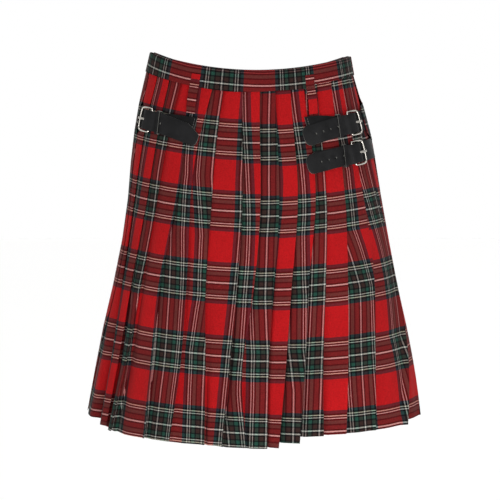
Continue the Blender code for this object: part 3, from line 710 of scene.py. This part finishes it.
def bandPiece(name, begin, end, outerHeight, innerHeight, edge, count):
    # a strip folded over the top edge of the cloth, made as one skin round both leaves
    outer = []
    inner = []
    sett = []
    for angle in np.linspace(begin, end, count):
        out = float(outerHeight(angle))
        back = float(innerHeight(angle))
        low = float(edge(angle))
        radius = (out - back) / 2
        start = low - waistband["rounding"]
        path = [(low, out - waistband["foldedIn"]), (start, out)]
        path += [(start - (start - radius) * share, out) for share in (0.15, 0.4, 0.7, 1)]
        path += [(radius - radius * math.sin(math.radians(a)) * waistband["topRound"],
                  (out + back) / 2 + radius * math.cos(math.radians(a)))
                 for a in (20, 40, 60, 90, 120, 140, 160)]
        path += [(radius + (low - radius) * share, back) for share in (0, 0.5, 1)]
        above, inside = sideOffsets(path, waistband["thick"] / 2)
        outer.append([hipPoints(angle, drop, height)[0] for drop, height in above])
        inner.append([hipPoints(angle, drop, height)[0] for drop, height in inside])
        steps = np.linalg.norm(np.diff(path, axis=0), axis=1)
        walked = np.concatenate([[0], np.cumsum(steps)])
        across = bandArc(angle)
        across += waistband["drawn"] * (across / waistband["drawnArc"]) ** 2
        across = (across - waistband["settCentre"]) / waistband["settPeriod"]
        line = float(np.interp(angle, waistband["lineAngles"], waistband["line"]))
        sett.append([(across, (low - step - line) / tartan["down"]) for step in walked])
    return clothShell(name, outer, inner, sett, bandMat)


def backEdge(angle):
    return np.interp(angle, waistband["edgeAngles"], waistband["edge"])


def frontEdge(angle):
    return waistband["frontEdge"]


bandFace = waistband["clear"] + waistband["stripThick"] - waistband["thick"] / 2
bandBack = apron["underFace"] - waistband["clothThick"] - bandFace - waistband["innerGap"]
leftSeamAt = [float(angleAt(seams["left"][0] + gap, seams["bandMiddle"]))
              for gap in (seams["gap"] / 2, -seams["gap"] / 2)]
backBand = bandPiece("kilt_waistband_back", leftSeamAt[0], seams["right"] - waistband["seamGap"],
                     lambda a: bandFace, lambda a: bandBack, backEdge,
                     waistband["columns"]["back"])
overBand = bandPiece("kilt_waistband_over", leftSeamAt[1], apron["overEdge"][1] - 360,
                     lambda a: overHeight(a) + bandFace,
                     lambda a: overHeight(a) - waistband["clothThick"] - bandFace, frontEdge,
                     waistband["columns"]["over"])
underBand = bandPiece("kilt_waistband_under", seams["right"] + waistband["seamGap"],
                      apron["underEnd"], lambda a: apron["underFace"] + bandFace,
                      lambda a: bandBack, frontEdge, waistband["columns"]["under"])
for piece, node, width in ((backBand, "waistband_back", 0.47), (overBand, "waistband_over", 0.50),
                           (underBand, "waistband_under", 0.42)):
    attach(piece, "root")
    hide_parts(node)
print("waistband made")

# Belt loops

loops = dict(
    wide=15.0,
    thick=1.6,
    rounded=0.9,  # how thin the strip gets at its edges
    route=[(15, 2.4), (26, 2.4), (36, 2.7), (44, 4.0), (54, 4.6), (64, 4.0), (73, 2.2), (79, 1.2)],
    rows=30,
    left=dict(top=-87, bottom=-97, sett=0.46, row=57.0),
    right=dict(top=98, bottom=105, sett=0.5, row=20.8),
)


def loopPiece(side):
    spec = loops[side]
    drops, heights = np.transpose(loops["route"])
    across = np.array([-1, -0.95, -0.8, -0.4, 0, 0.4, 0.8, 0.95, 1])
    half = loops["thick"] / 2 * np.sqrt(1 - np.abs(across) ** 6 * loops["rounded"])
    outer = []
    inner = []
    sett = []
    for share in np.linspace(0, 1, loops["rows"]):
        drop = drops[0] + (drops[-1] - drops[0]) * share
        out = float(smoothly(drops, heights, drop))
        middle = spec["top"] + (spec["bottom"] - spec["top"]) * share
        angles = angleAt(middle + across * loops["wide"] / 2, drop)
        outer.append(hipPoints(angles, drop, out + half))
        inner.append(hipPoints(angles, drop, out - half))
        sett.append([(spec["sett"] + x * loops["wide"] / 2 / tartan["across"],
                      (drop - spec["row"]) / tartan["down"]) for x in across])
    return clothShell("kilt_belt_loop_" + side, outer, inner, sett, clothMat)


for side in ("left", "right"):
    piece = loopPiece(side)
    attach(piece, "root")
    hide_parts("belt_loop_" + side)
print("belt loops made")

# Leather and metal

finish = dict(
    leather=dict(pores=900.0, poreHeight=0.0002, cloud=60.0, ends=(0.3, 0.75), rough=(0.42, 0.62)),
    strap=("#0f0f10", "#1a1a1b"),
    # the tab is a darker copy of the strap's leather: painted shade where the strap lies over it
    tab=("#070708", "#121213"),
    # cut edges: paler leather, made brighter still as a painted highlight along every edge
    edge=("#565652", "#73736e"),
    nickel=dict(tints=("#c9c4ba", "#e4e0d8"), cloud=240.0, rough=(0.14, 0.3)),
    thread=dict(tints=("#4c4c4a", "#7c7c78"), plies=600.0, rough=0.7),
)


def bridleLeather(name, tints):
    # waxed and pressed hide: a dull shine, fine pores, and faint clouds where it has been handled
    mat, tree, shader = newMaterial(name)
    look = finish["leather"]
    spot = addNode(tree, "TexCoord").outputs["Object"]
    grain = addNode(tree, "TexVoronoi", {"Scale": look["pores"]}, {"Vector": spot})
    cloud = addNode(tree, "TexNoise", {"Scale": look["cloud"], "Detail": 4.0}, {"Vector": spot})
    tint = tintRamp(tree, cloud.outputs["Fac"], tints, look["ends"])
    tree.links.new(tint, shader.inputs["Base Color"])
    pores = addNode(tree, "Bump", {"Strength": 0.25, "Distance": look["poreHeight"]},
                    {"Height": grain.outputs["Distance"]})
    tree.links.new(pores.outputs[0], shader.inputs["Normal"])
    rough = addNode(tree, "MapRange", {"To Min": look["rough"][0], "To Max": look["rough"][1]},
                    {0: cloud.outputs["Fac"]})
    tree.links.new(rough.outputs[0], shader.inputs["Roughness"])
    shader.inputs["IOR"].default_value = 1.5
    shader.inputs["Specular IOR Level"].default_value = 0.12
    return mat


def platedNickel(name):  # bright nickel plate over steel wire: mirror-like, slightly warm
    mat, tree, shader = newMaterial(name)
    look = finish["nickel"]
    spot = addNode(tree, "TexCoord").outputs["Object"]
    cloud = addNode(tree, "TexNoise", {"Scale": look["cloud"], "Detail": 3.0}, {"Vector": spot})
    tint = tintRamp(tree, cloud.outputs["Fac"], look["tints"])
    tree.links.new(tint, shader.inputs["Base Color"])
    rough = addNode(tree, "MapRange", {"To Min": look["rough"][0], "To Max": look["rough"][1]},
                    {0: cloud.outputs["Fac"]})
    tree.links.new(rough.outputs[0], shader.inputs["Roughness"])
    shader.inputs["Metallic"].default_value = 1.0
    return mat


def waxedThread(name):  # a dull plied cord
    mat, tree, shader = newMaterial(name)
    look = finish["thread"]
    spot = addNode(tree, "TexCoord").outputs["Object"]
    plies = addNode(tree, "TexWave", {"Scale": look["plies"]}, {"Vector": spot})
    tint = tintRamp(tree, plies.outputs["Fac"], look["tints"])
    tree.links.new(tint, shader.inputs["Base Color"])
    shader.inputs["Roughness"].default_value = look["rough"]
    return mat


strapMat = bridleLeather("black bridle leather", finish["strap"])
# the tab's leather is darker only as painted shade from the strap lying over it
shadedTabMat = bridleLeather("black bridle leather tab, painted shade under the strap", finish["tab"])
edgeAndHighlightMat = bridleLeather("cut leather edge, waxed, paler, with painted highlight", finish["edge"])
nickelMat = platedNickel("nickel plated steel")
threadMat = waxedThread("waxed grey polyester thread")

hardware = dict(
    bevel=0.4,  # leather edges are broken by this much where they turn further than bevelAngle
    bevelAngle=50,
    shadeAngle=40,
    flatAngles=(35, 60),  # triangles of one plane or one wire's side are merged up to these
    waist=(0.19, 0.12),  # half axes of the waist where the leather lies, in metres
    edgeSlope=0.75,  # a face turned further than this from the waist's normal is a cut edge
    stitch=2.6,  # a stitch's length, from one to the next, and in from the tab's end
    gap=3.9,
    inset=2.6,
    thread=0.33,  # its radius and the rounding of its ends
    threadEnd=0.15,
    tabTop=2.15,  # the tab's top face off the hips, and half its width
    tabHalf=15.4,
    # the side of each tab, the arcs of its heel and its sewn end, and its drop
    tabs=dict(left=(-1, 173, 91, 100.0), right_upper=(1, 171, 94, 97.5),
              right_lower=(1, 174.5, 104, 155.0)),
)


def finerCopy(node, mats, smooth):
    # the solid's own shape, with its edges broken for leather or its wire rounded for metal
    piece = bpy.data.objects.new("kilt_" + node, bpy.data.objects[node].data.copy())
    bpy.context.scene.collection.objects.link(piece)
    piece.select_set(True)
    bpy.context.view_layer.objects.active = piece
    bpy.ops.object.mode_set(mode="EDIT")
    bpy.ops.mesh.select_all(action="SELECT")
    bpy.ops.mesh.remove_doubles(threshold=1e-6)
    flatFace, flatShape = [math.radians(angle) for angle in hardware["flatAngles"]]
    bpy.ops.mesh.tris_convert_to_quads(face_threshold=flatFace, shape_threshold=flatShape)
    bpy.ops.object.mode_set(mode="OBJECT")
    if smooth:
        bpy.ops.object.modifier_add(type="SUBSURF")
        piece.modifiers[-1].levels = 2
        piece.modifiers[-1].render_levels = 2
    else:
        bpy.ops.object.modifier_add(type="BEVEL")
        bevel = piece.modifiers[-1]
        bevel.width = hardware["bevel"] * mm
        bevel.segments = 2
        bevel.limit_method = "ANGLE"
        bevel.angle_limit = math.radians(hardware["bevelAngle"])
    bpy.ops.object.modifier_apply(modifier=piece.modifiers[-1].name)
    bpy.ops.object.shade_smooth_by_angle(angle=math.radians(hardware["shadeAngle"]))
    piece.select_set(False)
    piece.data.materials.clear()
    for mat in mats:
        piece.data.materials.append(mat)
    wide, deep = hardware["waist"]
    for face in piece.data.polygons:
        face.material_index = 0
        across = Vector((face.center.x / wide**2, face.center.y / deep**2, 0)).normalized()
        if len(mats) > 1 and abs(face.normal.dot(across)) < hardware["edgeSlope"]:
            face.material_index = 1  # cut edges are paler than the dressed face, and brightened further as a painted highlight
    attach(piece, "root")
    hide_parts(node)
    return piece


def stitchTab(piece, side, heel, end, drop):  # a row of stitches across the tab's sewn end
    def level(arc, low, out):
        return hipPoints(angleAt(side * arc, low), low, out)[0]

    # the hips' own directions beside the heel, measured over 10 mm
    along = (level(heel + 20, drop, 0) - level(heel + 10, drop, 0)) / 10
    down = (level(heel + 15, drop + 5, 0) - level(heel + 15, drop - 5, 0)) / 10
    lean = -float(along @ down) / float(along @ along)
    half = hardware["tabHalf"] - hardware["inset"]
    stitches = []
    for across in np.arange(-half, half - hardware["stitch"] + 0.1, hardware["gap"]):
        first, last = [
            Vector(level(end + hardware["inset"] + lean * a, drop + a, hardware["tabTop"])) * mm
            for a in (across, across + hardware["stitch"])]
        bpy.ops.mesh.primitive_cylinder_add(
            vertices=8, radius=hardware["thread"] * mm, depth=(last - first).length,
            location=(first + last) / 2,
            rotation=(last - first).to_track_quat("Z", "Y").to_euler())
        bpy.ops.object.mode_set(mode="EDIT")
        bpy.ops.mesh.bevel(offset=hardware["threadEnd"] * mm, segments=2)
        bpy.ops.object.mode_set(mode="OBJECT")
        bpy.ops.object.shade_smooth()
        bpy.ops.object.transform_apply(location=True, rotation=True, scale=True)
        stitch = bpy.context.object
        stitch.data.materials.append(threadMat)
        stitches.append(stitch)
    for stitch in stitches:
        stitch.select_set(True)
    piece.select_set(True)
    bpy.context.view_layer.objects.active = piece
    bpy.ops.object.join()
    piece.select_set(False)


for fastening, tabPlace in hardware["tabs"].items():
    finerCopy("strap_" + fastening, (strapMat, edgeAndHighlightMat), False)
    finerCopy("keeper_" + fastening, (strapMat, edgeAndHighlightMat), False)
    tabPiece = finerCopy("tab_" + fastening, (shadedTabMat, edgeAndHighlightMat), False)
    stitchTab(tabPiece, *tabPlace)
    finerCopy("buckle_frame_" + fastening, (nickelMat,), True)
    finerCopy("prong_" + fastening, (nickelMat,), False)
print("leather and metal dressed")
